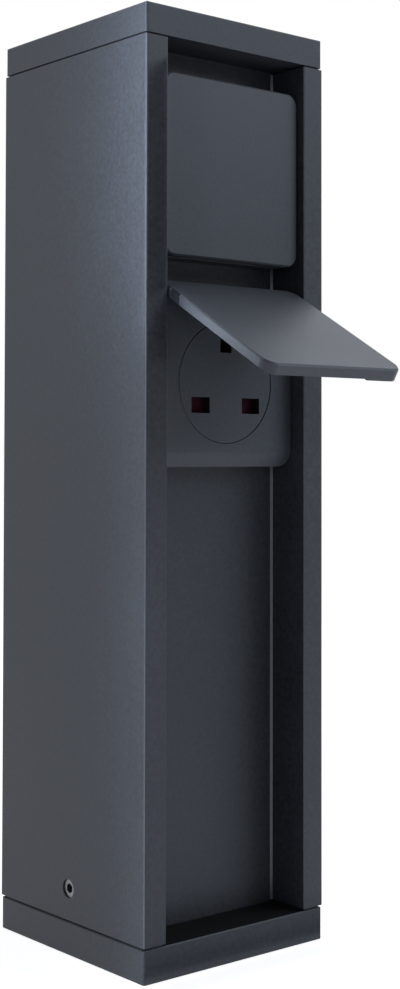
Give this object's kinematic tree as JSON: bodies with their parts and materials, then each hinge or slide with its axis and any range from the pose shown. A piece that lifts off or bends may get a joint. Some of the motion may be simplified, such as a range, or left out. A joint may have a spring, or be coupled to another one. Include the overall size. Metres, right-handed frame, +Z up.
{
  "type": "garden socket post",
  "caption": "Free-standing outdoor post with a recessed front channel and two lidded three-pin sockets, bolted to the ground through its base.",
  "frame": {"origin": "middle of the base's underside, on the ground", "axes": "+Z up along the post, -Y out of the front where the sockets are, +X to the right of someone facing the front"},
  "size_m": [0.0788, 0.1291, 0.3125],
  "materials": {
    "powder_coat": "fine-texture matt powder coat on aluminium",
    "moulded_plastic": "satin moulded plastic, charcoal",
    "red_plastic": "dark red moulded plastic",
    "rubber": "matt black rubber",
    "steel": "plain steel",
    "brass": "plain brass",
    "pale_plastic": "cream insulating plastic",
    "brown_wire": "brown wire insulation",
    "blue_wire": "blue wire insulation",
    "green_wire": "green and yellow wire insulation",
    "nylon": "black nylon"
  },
  "bodies": {
    "post": {"post_body": "powder_coat", "top_cap": "powder_coat", "base_foot": "powder_coat", "base_cheeks": "powder_coat", "front_panel": "powder_coat", "upper_socket_plate": "moulded_plastic", "lower_socket_plate": "moulded_plastic", "upper_socket_front": "moulded_plastic", "lower_socket_front": "moulded_plastic", "cap_gasket": "rubber", "base_gasket": "rubber", "upper_plate_gasket": "rubber", "lower_plate_gasket": "rubber", "gland_seal": "rubber", "cap_screws": "steel", "base_set_screws": "steel", "upper_plate_screws": "steel", "lower_plate_screws": "steel", "upper_hinge_pin": "steel", "lower_hinge_pin": "steel", "upper_shutter_spring": "steel", "lower_shutter_spring": "steel", "upper_block_screws": "steel", "lower_block_screws": "steel", "upper_terminal_screws": "steel", "lower_terminal_screws": "steel", "clamp_screws": "steel", "block_fixings": "steel", "earth_stud": "steel", "earth_nut": "steel", "upper_live_contact": "brass", "lower_live_contact": "brass", "upper_neutral_contact": "brass", "lower_neutral_contact": "brass", "upper_earth_contact": "brass", "lower_earth_contact": "brass", "terminal_inserts": "brass", "earth_lug": "brass", "upper_contact_block": "pale_plastic", "lower_contact_block": "pale_plastic", "terminal_block": "pale_plastic", "live_wires": "brown_wire", "neutral_wires": "blue_wire", "earth_wires": "green_wire", "gland_body": "nylon", "gland_dome_nut": "nylon", "gland_locknut": "nylon"},
    "upper_lid": {"upper_lid": "moulded_plastic", "upper_lid_seal": "rubber"},
    "lower_lid": {"lower_lid": "moulded_plastic", "lower_lid_seal": "rubber"},
    "upper_shutter": {"upper_shutter": "red_plastic"},
    "lower_shutter": {"lower_shutter": "red_plastic"}
  },
  "joints": [
    {"name": "upper_lid_hinge", "type": "hinge", "parent": "post", "child": "upper_lid", "pos_m": [0, -0.0363, 0.2907], "axis": [-1, 0, 0], "range_deg": [0, 95]},
    {"name": "lower_lid_hinge", "type": "hinge", "parent": "post", "child": "lower_lid", "pos_m": [0, -0.0363, 0.2217], "axis": [-1, 0, 0], "range_deg": [-60.5, 34.5]},
    {"name": "upper_shutter_slide", "type": "slide", "parent": "post", "child": "upper_shutter", "axis": [0, 0, -1], "range_m": [0, 0.0058], "stiffness_N_per_m": 60, "springref_m": -0.003, "deforming": ["upper_shutter_spring"]},
    {"name": "lower_shutter_slide", "type": "slide", "parent": "post", "child": "lower_shutter", "axis": [0, 0, -1], "range_m": [0, 0.0058], "stiffness_N_per_m": 60, "springref_m": -0.003, "deforming": ["lower_shutter_spring"]}
  ]
}
